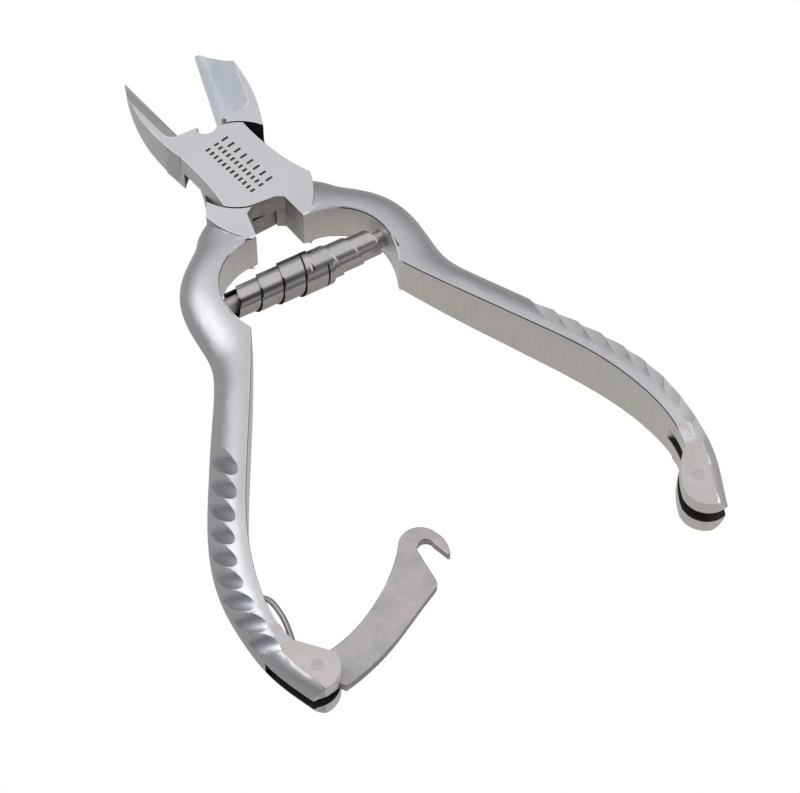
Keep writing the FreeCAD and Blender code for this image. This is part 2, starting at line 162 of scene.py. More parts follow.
def build_specks() -> None:
    """Build the sparse tiny pits of ground and tumbled steel."""
    inputs = {"Vector": (0.0, 0.0, 0.0), "Scale": 1000.0, "Share": 0.3}
    tree, start, end = new_group(Effect.SPECKS, inputs, ("Value",))
    cells = tree.nodes.new("ShaderNodeTexVoronoi")
    tree.links.new(start.outputs["Vector"], cells.inputs["Vector"])
    tree.links.new(start.outputs["Scale"], cells.inputs["Scale"])
    near = tree.nodes.new("ShaderNodeMath")
    near.operation = "LESS_THAN"
    tree.links.new(cells.outputs["Distance"], near.inputs[0])
    tree.links.new(start.outputs["Share"], near.inputs[1])
    tree.links.new(near.outputs["Value"], end.inputs["Value"])


def build_wear_and_highlight() -> None:
    """Build the bright line on outer edges, polished by handling and painted as a highlight."""
    tree, start, end = new_group(Effect.WEAR_AND_HIGHLIGHT, {"Amount": 1.0}, ("Value",))
    geometry = tree.nodes.new("ShaderNodeNewGeometry")
    ramp = tree.nodes.new("ShaderNodeMapRange")
    ramp.inputs["From Min"].default_value = 0.53
    ramp.inputs["From Max"].default_value = 0.62
    tree.links.new(geometry.outputs["Pointiness"], ramp.inputs["Value"])
    scaled = tree.nodes.new("ShaderNodeMath")
    scaled.operation = "MULTIPLY"
    tree.links.new(ramp.outputs["Result"], scaled.inputs[0])
    tree.links.new(start.outputs["Amount"], scaled.inputs[1])
    tree.links.new(scaled.outputs["Value"], end.inputs["Value"])


# --------------------------------------------------------------------------
# Finishes, and colours painted as light and shade
# --------------------------------------------------------------------------

PITS_PER_METRE = 1500.0
SCRATCHED = 0.78              # brightness of scratched steel beside clean steel
PITTED = 0.45                 # and of a pit
# Colour of brightened convex edges: worn by handling, and a painted highlight.
WORN_AND_HIGHLIT = (0.92, 0.92, 0.93)
SCRATCH_HEIGHT = 0.00002      # metres


@dataclass(frozen=True)
class SteelFinish:
    """One material of the nipper: how a surface is ground or polished, and for some, painted light or
    shade.

    Attributes:
        name: Name of the material.
        colour: Linear colour of the clean steel.
        stain: Linear colour of the blotches.
        roughness: Mean roughness.
        lines: Scratches per metre along X, Y and Z.
        scratch: Depth of the scratches, from 0 to 1.
        cloud: Blotches per metre.
        contrast: How strongly the blotches show.
        specks: Share of the surface that is pitted.
        wear_and_highlight: How strongly convex edges are brightened, as worn by handling and as a painted
            highlight.
        metallic: How far the surface mirrors as clean metal does.
    """

    name: str
    colour: Colour
    stain: Colour
    roughness: float
    lines: tuple[float, float, float] = (900.0, 900.0, 900.0)
    scratch: float = 0.3
    cloud: float = 120.0
    contrast: float = 1.6
    specks: float = 0.0
    wear_and_highlight: float = 0.25
    metallic: float = 1.0

    def material(self) -> bpy.types.Material:
        """Return the finish as a material, made once.

        Returns:
            The material with its nodes.
        """
        made = bpy.data.materials.get(self.name)
        if made:
            return made
        made = bpy.data.materials.new(self.name)
        made.use_nodes = True
        nodes, links = made.node_tree.nodes, made.node_tree.links
        shader = nodes["Principled BSDF"]
        shader.inputs["Metallic"].default_value = self.metallic
        place = nodes.new("ShaderNodeTexCoord").outputs["Object"]
        brush = self._effect(nodes, Effect.BRUSH, {"Lines": self.lines, "Depth": self.scratch})
        cloud = self._effect(nodes, Effect.CLOUD, {"Scale": self.cloud, "Contrast": self.contrast})
        specks = self._effect(nodes, Effect.SPECKS, {"Scale": PITS_PER_METRE, "Share": self.specks})
        wear_and_highlight = self._effect(nodes, Effect.WEAR_AND_HIGHLIGHT, {"Amount": self.wear_and_highlight})
        for effect in (brush, cloud, specks):
            links.new(place, effect.inputs["Vector"])
        stained = self._mix(made, cloud.outputs["Value"], self.colour, self.stain)
        dark = tuple(SCRATCHED * c for c in self.colour)
        pit = tuple(PITTED * c for c in self.colour)
        fine = self._mix(made, brush.outputs["Value"], stained, dark, 0.35 + 0.65 * self.scratch)
        pitted = self._mix(made, specks.outputs["Value"], fine, pit)
        bright = self._mix(made, wear_and_highlight.outputs["Value"], pitted, WORN_AND_HIGHLIT)
        links.new(bright, shader.inputs["Base Color"])
        rough = nodes.new("ShaderNodeMapRange")
        rough.inputs["To Min"].default_value = max(0.04, self.roughness - 0.1 * self.scratch - 0.03)
        rough.inputs["To Max"].default_value = self.roughness + 0.14 * self.scratch + 0.03
        links.new(brush.outputs["Value"], rough.inputs["Value"])
        links.new(rough.outputs["Result"], shader.inputs["Roughness"])
        bump = nodes.new("ShaderNodeBump")
        bump.inputs["Strength"].default_value = min(1.0, 0.5 + self.scratch)
        bump.inputs["Distance"].default_value = SCRATCH_HEIGHT
        links.new(brush.outputs["Height"], bump.inputs["Height"])
        links.new(bump.outputs["Normal"], shader.inputs["Normal"])
        return made

    @staticmethod
    def _effect(nodes: bpy.types.Nodes, effect: Effect, values: dict[str, object]) -> bpy.types.Node:
        """Place a shared effect with its own values.

        Args:
            nodes: Nodes of the material's tree.
            effect: The effect to place.
            values: Input name to value.

        Returns:
            The group node.
        """
        node = nodes.new("ShaderNodeGroup")
        node.node_tree = bpy.data.node_groups[effect.value]
        for name, value in values.items():
            node.inputs[name].default_value = value
        return node

    @staticmethod
    def _mix(material: bpy.types.Material, mask: bpy.types.NodeSocket,
             first: Colour | bpy.types.NodeSocket, second: Colour,
             share: float = 1.0) -> bpy.types.NodeSocket:
        """Mix two colours by a mask.

        Args:
            material: The material that takes the node.
            mask: Socket with the mask.
            first: Colour, or a socket with one, where the mask is 0.
            second: Colour where the mask is 1.
            share: How much of the second colour the full mask gives.

        Returns:
            The socket with the mixed colour.
        """
        nodes, links = material.node_tree.nodes, material.node_tree.links
        scaled = nodes.new("ShaderNodeMath")
        scaled.operation = "MULTIPLY"
        scaled.inputs[1].default_value = share
        links.new(mask, scaled.inputs[0])
        mix = nodes.new("ShaderNodeMix")
        mix.data_type = "RGBA"
        links.new(scaled.outputs["Value"], mix.inputs["Factor"])
        colours = [s for s in mix.inputs if s.type == "RGBA"]
        if isinstance(first, tuple):
            colours[0].default_value = (*first, 1.0)
        else:
            links.new(first, colours[0])
        colours[1].default_value = (*second, 1.0)
        return next(s for s in mix.outputs if s.type == "RGBA")


SATIN = SteelFinish("satin_steel", (0.57, 0.57, 0.59), (0.515, 0.52, 0.545),
    roughness=0.43, lines=(500.0, 500.0, 900.0), scratch=0.12, cloud=60.0, contrast=1.4)
PLATE = SteelFinish("ground_plate", (0.64, 0.635, 0.655), (0.60, 0.60, 0.625),
    roughness=0.42, lines=(400.0, 3200.0, 400.0), scratch=0.22, cloud=90.0, contrast=1.2)
# Ground inner walls, painted lighter and less mirror-like than the steel so that they look lit.
WALL = SteelFinish("ground_wall_painted_lighter", (0.82, 0.815, 0.785), (0.86, 0.825, 0.79),
    roughness=0.46, lines=(1800.0, 1800.0, 150.0), scratch=0.35, cloud=160.0, contrast=1.8,
    specks=0.02, wear_and_highlight=0.25, metallic=0.8)
COARSE = SteelFinish("coarse_ground", (0.52, 0.50, 0.465), (0.22, 0.20, 0.18),
    roughness=0.5, lines=(2200.0, 2200.0, 200.0), scratch=0.9, cloud=500.0, contrast=2.4,
    specks=0.1)
# Painted shade: near black on the lap's hidden faces, the slot inside the fork, the band under the handle's
# rims and the spring's steps, where shade falls.
PAINTED_SHADE = SteelFinish("painted_shade", (0.05, 0.048, 0.046), (0.09, 0.08, 0.075),
    roughness=0.6, lines=(900.0, 900.0, 900.0), scratch=0.5, cloud=500.0, contrast=2.0, specks=0.0,
    wear_and_highlight=0.0)
# Lit and shaded copies of the jaws' one hollow finish: the bluish one is a painted reflection, the grey one
# painted shade.
HOLLOW_LIT_COPY = SteelFinish("hollow_painted_lit", (0.76, 0.84, 0.93), (0.92, 0.95, 1.0),
    roughness=0.44, lines=(700.0, 700.0, 700.0), scratch=0.15, cloud=260.0, contrast=2.8,
    specks=0.03, wear_and_highlight=0.6, metallic=0.65)
HOLLOW_SHADED_COPY = SteelFinish("hollow_painted_shaded", (0.50, 0.50, 0.51), (0.55, 0.55, 0.56),
    roughness=0.38, lines=(500.0, 500.0, 2200.0), scratch=0.2, cloud=200.0, contrast=1.6,
    specks=0.0, wear_and_highlight=0.5)
END_FLAT = SteelFinish("matt_end_flat", (0.53, 0.50, 0.485), (0.58, 0.53, 0.525),
    roughness=0.5, lines=(1300.0, 1300.0, 1300.0), scratch=0.25, cloud=260.0, contrast=2.2,
    specks=0.02)
FLANK = SteelFinish("ground_flank", (0.66, 0.66, 0.675), (0.60, 0.60, 0.615),
    roughness=0.4, lines=(300.0, 300.0, 2600.0), scratch=0.3, cloud=120.0, contrast=1.4)
# Painted highlight: a near-white, mostly matt colour on the rim and ridge chamfers, standing in for the
# white reflection along them.
RIM_PAINTED_HIGHLIGHT = SteelFinish("rim_painted_highlight", (0.90, 0.90, 0.92), (0.85, 0.85, 0.88),
    roughness=0.22, lines=(500.0, 500.0, 500.0), scratch=0.05, cloud=90.0, contrast=1.2,
    specks=0.0, wear_and_highlight=0.0, metallic=0.15)
LATCH = SteelFinish("tumbled_latch", (0.41, 0.415, 0.43), (0.54, 0.485, 0.475),
    roughness=0.48, lines=(1500.0, 1500.0, 1500.0), scratch=0.35, cloud=260.0, contrast=4.0,
    specks=0.05)
# Lit and shaded copies of the flutes' one finish: the pale one is painted lighter, the other painted darker
# and shinier.
FLUTE_LIT_COPY = SteelFinish("flute_painted_lit", (0.80, 0.815, 0.80), (0.74, 0.75, 0.73),
    roughness=0.5, lines=(900.0, 900.0, 900.0), scratch=0.2, cloud=300.0, contrast=1.6)
FLUTE_SHADED_COPY = SteelFinish("flute_painted_shaded", (0.50, 0.515, 0.55), (0.56, 0.58, 0.62),
    roughness=0.27, lines=(700.0, 700.0, 900.0), scratch=0.12, cloud=300.0, contrast=1.6)
STRIP = SteelFinish("polished_strip", (0.56, 0.54, 0.53), (0.46, 0.44, 0.435),
    roughness=0.1, lines=(120.0, 2600.0, 2600.0), scratch=0.1, cloud=350.0, contrast=1.6,
    specks=0.0, wear_and_highlight=0.3)
WIRE = SteelFinish("drawn_wire", (0.36, 0.34, 0.33), (0.30, 0.28, 0.27),
    roughness=0.22, lines=(300.0, 300.0, 2000.0), scratch=0.15, cloud=300.0, contrast=1.4)
PIN = SteelFinish("pin_end", (0.50, 0.475, 0.465), (0.44, 0.41, 0.41),
    roughness=0.46, lines=(1600.0, 400.0, 400.0), scratch=0.3, cloud=500.0, contrast=2.0)
ETCH = SteelFinish("etched_mark", (0.07, 0.05, 0.04), (0.12, 0.09, 0.07),
    roughness=0.55, lines=(900.0, 900.0, 900.0), scratch=0.5, cloud=900.0, contrast=2.0,
    specks=0.0, wear_and_highlight=0.0)


# --------------------------------------------------------------------------
# Mesh helpers
# --------------------------------------------------------------------------

MERGE_DISTANCE = 0.002
SAME_PLANE = 0.5              # degrees
RIM_ANGLE = 1.0               # radians; a turned pin's flats meet at less


def new_piece(mesh: BMesh, name: str, finishes: tuple[SteelFinish, ...],
              smooth: float = 32.0) -> bpy.types.Object:
    """Turn a mesh in millimetres into an object in metres at the origin.

    Args:
        mesh: The finished mesh, which is freed.
        name: Name of the piece.
        finishes: Finishes, in the order of the faces' material numbers.
        smooth: Angle in degrees past which an edge is sharp.

    Returns:
        The new object.
    """
    for face in mesh.faces:
        face.smooth = True
    for edge in mesh.edges:
        if edge.is_manifold and edge.calc_face_angle() > math.radians(smooth):
            edge.smooth = False
    bmesh.ops.scale(mesh, vec=Vector((1, 1, 1)) * MILLIMETRE, verts=mesh.verts)
    data = bpy.data.meshes.new(name)
    mesh.to_mesh(data)
    mesh.free()
    for finish in finishes:
        data.materials.append(finish.material())
    piece = bpy.data.objects.new(name, data)
    bpy.context.scene.collection.objects.link(piece)
    levelled = piece.modifiers.new("flat_faces_stay_flat", "WEIGHTED_NORMAL")
    levelled.weight = 100
    levelled.keep_sharp = True
    return piece


def node_copy(node: str) -> BMesh:
    """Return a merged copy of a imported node's mesh.

    Args:
        node: Name of the node.

    Returns:
        The copy in millimetres, with flat areas as whole faces.
    """
    mesh = bmesh.new()
    mesh.from_mesh(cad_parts[node].data)
    bmesh.ops.scale(mesh, vec=Vector((1, 1, 1)) / MILLIMETRE, verts=mesh.verts)
    bmesh.ops.remove_doubles(mesh, verts=mesh.verts, dist=MERGE_DISTANCE)
    bmesh.ops.dissolve_limit(mesh, angle_limit=math.radians(SAME_PLANE), use_dissolve_boundaries=False,
                             verts=mesh.verts, edges=mesh.edges)
    return mesh


def turned(radius: float, length: float, steps: int, chamfer: float) -> BMesh:
    """Return a turned pin along +Z from the origin, with chamfered ends.

    Args:
        radius: Radius of the pin.
        length: Length of the pin.
        steps: Number of flats round it.
        chamfer: Size of the chamfers.

    Returns:
        The pin as a mesh in millimetres.
    """
    mesh = bmesh.new()
    bmesh.ops.create_circle(mesh, cap_ends=True, radius=radius, segments=steps)
    face = mesh.faces[:][0]
    grown = bmesh.ops.extrude_face_region(mesh, geom=[face])
    top = [v for v in grown["geom"] if isinstance(v, bmesh.types.BMVert)]
    bmesh.ops.translate(mesh, vec=(0, 0, length), verts=top)
    bmesh.ops.recalc_face_normals(mesh, faces=mesh.faces)
    rims = [e for e in mesh.edges if e.is_manifold and e.calc_face_angle() > RIM_ANGLE]
    bmesh.ops.bevel(mesh, geom=rims, offset=chamfer, segments=2, profile=0.5,
                    affect="EDGES", material=-1)
    return mesh


def chamfer_edges(mesh: BMesh, edges: list[BMEdge], width: float, segments: int = 2,
                  material: int = -1) -> None:
    """Round off some edges of a mesh.

    Args:
        mesh: The mesh to change.
        edges: The edges to round.
        width: Width of the rounding.
        segments: Number of faces across it.
        material: Material number of the new faces, or -1 to keep the neighbours'.
    """
    bmesh.ops.bevel(mesh, geom=edges, offset=width, offset_type="OFFSET", segments=segments,
                    profile=0.5, affect="EDGES", clamp_overlap=False, material=material,
                    loop_slide=True)


# --------------------------------------------------------------------------
# Levers
# --------------------------------------------------------------------------

class Region(Enum):
    """Areas of a lever with their own materials, some of them painted highlight or painted shade; the value
    is the material number.
    """

    BACK = 0
    PLATE = 1
    WALL = 2
    COARSE = 3
    PAINTED_SHADE = 4
    HOLLOW = 5
    END_FLAT = 6
    FLANK = 7
    RIM_PAINTED_HIGHLIGHT = 8
    RIM_SHADOW = 9
    FLUTE = 10


# Shares of a face's unit normal, which tell the walls from the level faces.
UPRIGHT = 0.3                 # a wall has less along Z
TILTED = 0.5                  # a jaw's flank has less, the lap's own face has more
NEARLY_LEVEL = 0.9            # a heel, a fork's inside and the latch's plate have more
LEVEL = 0.98                  # the joint's outer face has more
DEAD_LEVEL = 0.99             # an end flat has more
SIDEWAYS = 0.1                # a face turned to one side of the lever has more along X
FACING_AXIS = 0.8             # a face turned to the pivot axis has more towards it


@dataclass
class Lever:
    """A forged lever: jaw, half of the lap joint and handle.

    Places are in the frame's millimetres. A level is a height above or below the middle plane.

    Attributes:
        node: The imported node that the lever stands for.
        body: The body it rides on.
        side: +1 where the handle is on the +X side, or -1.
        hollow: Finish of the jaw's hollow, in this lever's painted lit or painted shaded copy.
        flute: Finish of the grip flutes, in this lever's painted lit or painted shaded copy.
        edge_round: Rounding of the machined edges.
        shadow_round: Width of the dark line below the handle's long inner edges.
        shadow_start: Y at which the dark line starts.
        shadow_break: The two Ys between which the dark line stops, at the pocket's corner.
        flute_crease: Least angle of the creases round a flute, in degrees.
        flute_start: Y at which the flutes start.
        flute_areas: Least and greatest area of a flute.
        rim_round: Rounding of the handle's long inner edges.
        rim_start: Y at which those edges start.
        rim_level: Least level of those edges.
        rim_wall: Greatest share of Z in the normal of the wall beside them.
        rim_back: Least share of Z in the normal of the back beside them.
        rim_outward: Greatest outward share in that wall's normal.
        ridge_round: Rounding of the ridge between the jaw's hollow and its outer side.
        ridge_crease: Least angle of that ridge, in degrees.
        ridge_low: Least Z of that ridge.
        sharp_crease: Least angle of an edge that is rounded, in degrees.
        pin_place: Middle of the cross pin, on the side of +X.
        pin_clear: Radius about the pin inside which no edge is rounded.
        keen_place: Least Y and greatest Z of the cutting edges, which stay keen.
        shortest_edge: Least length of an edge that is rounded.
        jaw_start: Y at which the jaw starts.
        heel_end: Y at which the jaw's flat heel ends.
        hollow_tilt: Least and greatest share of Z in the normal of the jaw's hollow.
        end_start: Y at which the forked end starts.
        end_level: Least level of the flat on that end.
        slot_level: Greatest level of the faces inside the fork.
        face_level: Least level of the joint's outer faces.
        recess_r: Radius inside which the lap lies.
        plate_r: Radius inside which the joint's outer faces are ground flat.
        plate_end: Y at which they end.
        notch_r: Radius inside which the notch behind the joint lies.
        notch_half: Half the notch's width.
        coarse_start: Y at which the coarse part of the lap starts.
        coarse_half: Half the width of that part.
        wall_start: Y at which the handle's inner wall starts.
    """

    node: str
    body: str
    side: int
    hollow: SteelFinish
    flute: SteelFinish
    edge_round: float = 0.1
    shadow_round: float = 0.11
    shadow_start: float = -14.8
    shadow_break: tuple[float, float] = (-22.5, -28.2)
    flute_crease: float = 10.0
    flute_start: float = -40.0
    flute_areas: tuple[float, float] = (9.0, 30.0)
    rim_round: float = 0.24
    rim_start: float = -13.4
    rim_level: float = 2.5
    rim_wall: float = 0.15
    rim_back: float = 0.6
    rim_outward: float = 0.2
    ridge_round: float = 0.1
    ridge_crease: float = 12.0
    ridge_low: float = 2.5
    sharp_crease: float = 38.0
    pin_place: tuple[float, float] = (30.4, -81.0)
    pin_clear: float = 1.2
    keen_place: tuple[float, float] = (9.0, 1.6)
    shortest_edge: float = 0.02
    jaw_start: float = 8.4
    heel_end: float = 13.0
    hollow_tilt: tuple[float, float] = (0.02, 0.995)
    end_start: float = -72.6
    end_level: float = 3.5
    slot_level: float = 1.3
    face_level: float = 3.6
    recess_r: float = 9.2
    plate_r: float = 14.5
    plate_end: float = -13.7
    notch_r: float = 13.9
    notch_half: float = 4.4
    coarse_start: float = -7.0
    coarse_half: float = 4.0
    wall_start: float = -8.9

    def region(self, face: BMFace) -> Region:
        """Return the area of the lever that a face belongs to.

        Args:
            face: A face of the mesh in millimetres.

        Returns:
            The area.
        """
        place, normal = face.calc_center_median(), face.normal
        level = abs(place.z - MID_Z)
        radius = math.hypot(place.x, place.y)
        upright = abs(normal.z) < UPRIGHT
        if place.y > self.jaw_start and place.x * self.side < 0:
            return self._jaw_region(face)
        if place.y < self.end_start:
            # The faces inside the fork's slot get painted shade.
            if level < self.slot_level and abs(normal.z) > NEARLY_LEVEL:
                return Region.PAINTED_SHADE
            if abs(normal.z) > DEAD_LEVEL and level > self.end_level:
                return Region.END_FLAT
        if radius < self.recess_r and level < self.face_level:
            return self._recess_region(face)
        on_top = abs(normal.z) > LEVEL and level > self.face_level
        if on_top and place.y > self.plate_end and radius < self.plate_r:
            return Region.PLATE
        in_notch = radius < self.notch_r and abs(place.x) < self.notch_half and place.y < 0
        if upright and in_notch:
            return Region.COARSE
        inward = -normal.x * self.side
        # The inner walls get the ground finish that is painted lighter.
        if upright and inward > -SIDEWAYS and place.y < self.wall_start:
            return Region.WALL
        return Region.BACK

    def _recess_region(self, face: BMFace) -> Region:
        """Return the area of a face in the lap, between the two levers.

        Args:
            face: A face in the lap.

        Returns:
            PAINTED_SHADE where hardly any light falls, or the coarse or the plain ground area.
        """
        place, normal = face.calc_center_median(), face.normal
        radius = math.hypot(place.x, place.y)
        outward = (normal.x * place.x + normal.y * place.y) / max(radius, 0.1)
        if abs(normal.z) > TILTED or outward < -FACING_AXIS:
            return Region.PAINTED_SHADE
        in_notch = place.y < self.coarse_start and abs(place.x) < self.coarse_half
        return Region.COARSE if in_notch else Region.FLANK

    def _jaw_region(self, face: BMFace) -> Region:
        """Return the area of a face of the jaw.

        Args:
            face: A face of the jaw.

        Returns:
            The hollow, the outer flank, the flat heel or the plain back.
        """
        place, normal = face.calc_center_median(), face.normal
        inward = normal.x * self.side
        if inward > SIDEWAYS and self.hollow_tilt[0] < normal.z < self.hollow_tilt[1]:
            return Region.HOLLOW
        if inward < -SIDEWAYS and normal.z < TILTED:
            return Region.FLANK
        on_heel = normal.z > NEARLY_LEVEL and place.y < self.heel_end
        return Region.PLATE if on_heel else Region.BACK

    def build(self) -> bpy.types.Object:
        """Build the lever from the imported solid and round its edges.

        Returns:
            The finished piece.
        """
        mesh = node_copy(self.node)
        least = math.radians(self.sharp_crease)
        sharp = [e for e in mesh.edges if e.is_manifold and e.calc_face_angle() > least]
        for face in mesh.faces:
            face.material_index = self.region(face).value
        rims = [e for e in sharp if self._is_rim(e)]
        ridges = [e for e in mesh.edges if self._is_ridge(e)]
        chosen = set(rims) | set(ridges)
        others = [e for e in sharp if e not in chosen and self._can_round(e)]
        self._mark_flutes(mesh)
        # The rim and ridge chamfers get the painted highlight, and a band under the rims gets painted
        # shadow.
        chamfer_edges(mesh, rims, self.rim_round, segments=1, material=Region.RIM_PAINTED_HIGHLIGHT.value)
        under = [e for e in mesh.edges if self._is_below_rim(e)]
        chamfer_edges(mesh, under, self.shadow_round, segments=1, material=Region.RIM_SHADOW.value)
        ridges = [e for e in ridges if e.is_valid]
        chamfer_edges(mesh, ridges, self.ridge_round, segments=1, material=Region.RIM_PAINTED_HIGHLIGHT.value)
        chamfer_edges(mesh, [e for e in others if e.is_valid], self.edge_round)
        finishes = (SATIN, PLATE, WALL, COARSE, PAINTED_SHADE, self.hollow, END_FLAT, FLANK, RIM_PAINTED_HIGHLIGHT,
                    PAINTED_SHADE, self.flute)
        piece = new_piece(mesh, f"{self.node}_forging", finishes)
        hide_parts(self.node)
        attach(piece, self.body)
        LOG.info("%s: %d faces", piece.name, len(piece.data.polygons))
        return piece

    def _mark_flutes(self, mesh: BMesh) -> None:
        """Give the patches of the back that creases enclose the flutes' finish.

        Args:
            mesh: The lever's mesh, with its areas marked.
        """
        crease = math.radians(self.flute_crease)
        waiting = {f for f in mesh.faces if f.material_index == Region.BACK.value
                   and f.calc_center_median().y < self.flute_start}
        while waiting:
            patch, front = set(), [waiting.pop()]
            while front:
                face = front.pop()
                patch.add(face)
                for edge in face.edges:
                    if edge.is_manifold and edge.calc_face_angle() < crease:
                        near = {f for f in edge.link_faces if f in waiting}
                        waiting -= near
                        front.extend(near)
            if self.flute_areas[0] < sum(f.calc_area() for f in patch) < self.flute_areas[1]:
                for face in patch:
                    face.material_index = Region.FLUTE.value
                    for edge in face.edges:
                        edge.smooth = all(f in patch for f in edge.link_faces)

    def _is_below_rim(self, edge: BMEdge) -> bool:
        """Tell whether an edge is where the dark line below a rim goes.

        Args:
            edge: An edge of the lever.

        Returns:
            True if it parts a rim from the inner wall, outside the break in the line.
        """
        areas = {face.material_index for face in edge.link_faces}
        place = edge.verts[0].co.y
        in_break = self.shadow_break[1] < place < self.shadow_break[0]
        return areas == {Region.RIM_PAINTED_HIGHLIGHT.value, Region.WALL.value} and not in_break and place < self.shadow_start

    def _is_rim(self, edge: BMEdge) -> bool:
        """Tell whether an edge is on a long inner rim of the handle.

        Args:
            edge: An edge of the lever.

        Returns:
            True if it parts the back from the inner wall.
        """
        place = (edge.verts[0].co + edge.verts[1].co) / 2
        if abs(place.z - MID_Z) <= self.rim_level or not self.end_start < place.y < self.rim_start:
            return False
        normals = [face.normal for face in edge.link_faces]
        by_back = any(abs(n.z) > self.rim_back for n in normals)
        by_wall = any(abs(n.z) < self.rim_wall and n.x * self.side < self.rim_outward for n in normals)
        return by_back and by_wall

    def _is_ridge(self, edge: BMEdge) -> bool:
        """Tell whether an edge bounds the hollow of the jaw on its upper side.

        Args:
            edge: An edge of the lever.

        Returns:
            True if one of its two faces is the hollow and it is high and sharp enough.
        """
        if not edge.is_manifold or edge.calc_face_angle() < math.radians(self.ridge_crease):
            return False
        hollow = [f.material_index == Region.HOLLOW.value for f in edge.link_faces]
        return hollow[0] != hollow[1] and edge.verts[0].co.z > self.ridge_low

    def _can_round(self, edge: BMEdge) -> bool:
        """Tell whether an edge may be rounded and has room for it.

        Args:
            edge: A sharp edge of the lever.

        Returns:
            False for the cutting edges, the pin's hole and the shortest edges.
        """
        place = (edge.verts[0].co + edge.verts[1].co) / 2
        keen = place.y > self.keen_place[0] and place.z < self.keen_place[1]
        pin = Vector((self.pin_place[0] * self.side, self.pin_place[1]))
        clear = (place.xy - pin).length > self.pin_clear
        return edge.calc_length() > self.shortest_edge and not keen and clear


# --------------------------------------------------------------------------
# Barrel spring
# --------------------------------------------------------------------------

@dataclass
class Volute:
    """A strip wound as a cone, one half of the barrel spring.

    Attributes:
        side: -1 for the half at -X, which ends on top, or +1.
        turns: Number of turns.
        first: Share of a turn at which the visible strip starts.
        inner_r: Outer radius of the strip at no turns.
        growth: Growth of the radius in one turn.
        advance: Advance along the axis in one turn.
        width: Width of the strip.
        thickness: Thickness of the strip.
        step_shadow: Half the share of the width that is painted dark as the shadow beside the next turn.
        start: Distance of the strip's small end from the spring's middle, at no turns.
        outer_end: Angle of the strip's large end from the top, in degrees.
        edge_round: Rounding of the strip's edges.
        edge_crease: Least angle of those edges, in degrees.
        side_facing: Least share of X in the normal of the strip's cut sides, which are painted dark as
            shade.
        steps_per_turn: Number of faces in one turn.
        steps_across: Number of faces across the width.
    """

    side: int
    turns: float
    inner_r: float
    growth: float
    first: float = 0.15
    advance: float = 3.6
    width: float = 4.9
    thickness: float = 0.28
    step_shadow: float = 0.034
    start: float = 14.6
    outer_end: float = 38.0
    edge_round: float = 0.04
    edge_crease: float = 50.0
    side_facing: float = 0.8
    steps_per_turn: int = 72
    steps_across: int = 15

    def build(self) -> bpy.types.Object:
        """Wind the strip about the spring's axis.

        Returns:
            The finished piece.
        """
        low, high = (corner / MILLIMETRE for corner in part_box("barrel_spring"))
        centre = (low + high) / 2
        limit = (high.x - low.x) / 2
        mesh = bmesh.new()
        steps = int(self.turns * self.steps_per_turn)
        bmesh.ops.create_grid(mesh, x_segments=steps, y_segments=self.steps_across, size=0.5)
        # A band of the strip beside the next turn's edge gets painted shadow.
        for face in mesh.faces:
            across = face.calc_center_median().y + 0.5
            face.material_index = int(abs(across - self.advance / self.width) < self.step_shadow)
        for vert in mesh.verts:
            turn = self.first + (vert.co.x + 0.5) * (self.turns - self.first)
            across = vert.co.y + 0.5
            reach = self.start - self.advance * turn - self.width * across
            reach = min(reach, limit)
            radius = self.inner_r + self.growth * turn
            angle = math.radians(self.outer_end) + 2 * math.pi * (self.turns - turn)
            vert.co = Vector((self.side * reach, -radius * math.sin(angle), radius * math.cos(angle)))
        bmesh.ops.remove_doubles(mesh, verts=mesh.verts, dist=0.001)
        bmesh.ops.recalc_face_normals(mesh, faces=mesh.faces)
        outward = sum(f.normal.dot(Vector((0, *f.calc_center_median().yz))) for f in mesh.faces)
        if outward < 0:
            bmesh.ops.reverse_faces(mesh, faces=mesh.faces)
        bmesh.ops.solidify(mesh, geom=mesh.faces, thickness=self.thickness)
        bmesh.ops.recalc_face_normals(mesh, faces=mesh.faces)
        # The strip's cut sides get painted shade.
        for face in mesh.faces:
            if abs(face.normal.x) > self.side_facing:
                face.material_index = 1
        least = math.radians(self.edge_crease)
        edges = [e for e in mesh.edges if e.is_manifold and e.calc_face_angle() > least]
        bmesh.ops.bevel(mesh, geom=edges, offset=self.edge_round, segments=2, profile=0.5, affect="EDGES",
                        clamp_overlap=True, material=-1)
        bmesh.ops.translate(mesh, vec=centre, verts=mesh.verts)
        name = "latch_side_volute" if self.side < 0 else "catch_side_volute"
        piece = new_piece(mesh, name, (STRIP, PAINTED_SHADE))
        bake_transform(piece)
        LOG.info("%s: %d faces", piece.name, len(piece.data.polygons))
        return piece


@dataclass
class BarrelSpring:
    """Two volutes, the large end of one over the large end of the other.

    Attributes:
        halves: The half at -X, then the half at +X.
    """

    halves: tuple[Volute, ...] = (
        Volute(side=-1, turns=3.9, inner_r=2.0, growth=0.335),
        Volute(side=1, turns=3.3, inner_r=2.02, growth=0.27, outer_end=180.0),
    )

    def build(self) -> None:
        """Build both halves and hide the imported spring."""
        pieces = [half.build() for half in self.halves]
        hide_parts("barrel_spring")


# --------------------------------------------------------------------------
# Pins and pegs
# --------------------------------------------------------------------------

